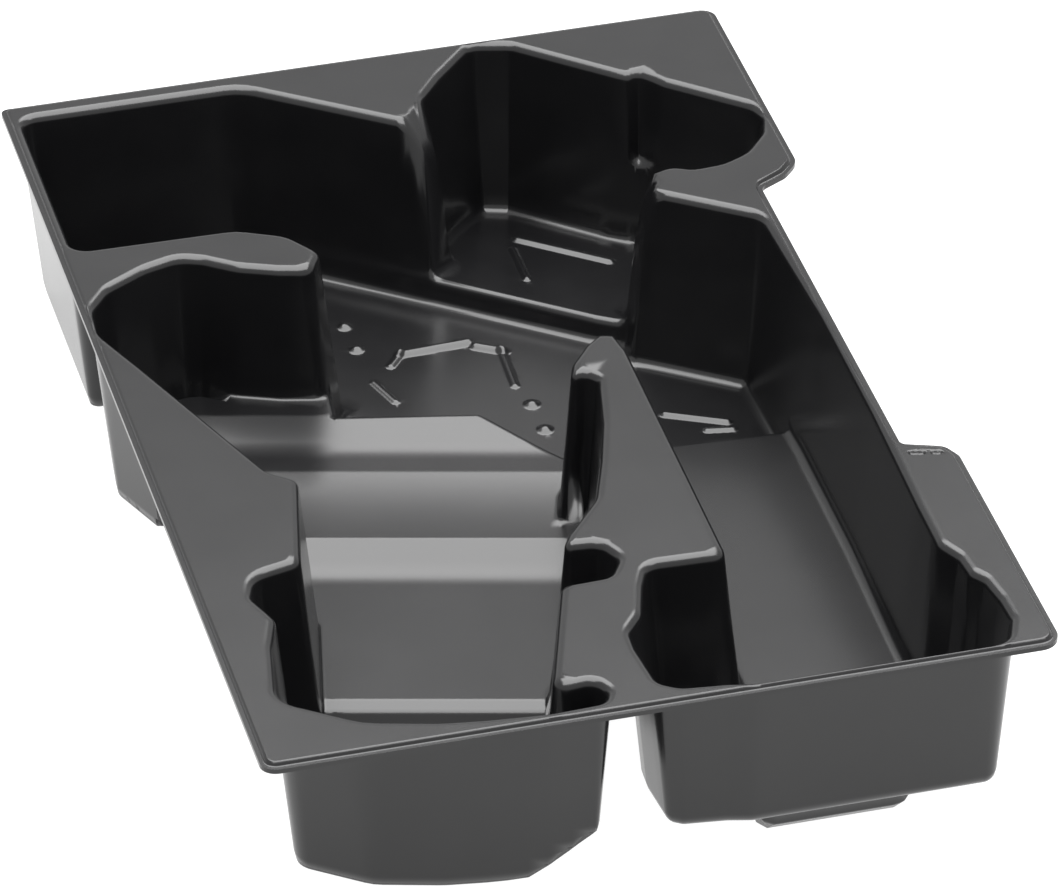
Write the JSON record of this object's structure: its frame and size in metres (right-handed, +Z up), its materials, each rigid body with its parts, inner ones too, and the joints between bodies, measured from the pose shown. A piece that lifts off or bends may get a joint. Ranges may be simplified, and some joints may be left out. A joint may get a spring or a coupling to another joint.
{
  "type": "tool case insert",
  "caption": "Vacuum-formed plastic tray that drops into a tool case, with deep shaped pockets, a stepped saddle and finger slots hanging from one flat rim.",
  "frame": {"origin": "centre of the bounding box at the lowest floor, the surface that the insert stands on", "axes": "+X across the insert to the right, +Y along its length to the back, +Z up out of the pockets"},
  "size_m": [0.1916, 0.3046, 0.051],
  "materials": {
    "black_sheet": "near-black thermoformed polystyrene sheet, satin with soft highlights on every rounded edge"
  },
  "bodies": {
    "root": {"insert_tray": "black_sheet"}
  },
  "joints": []
}
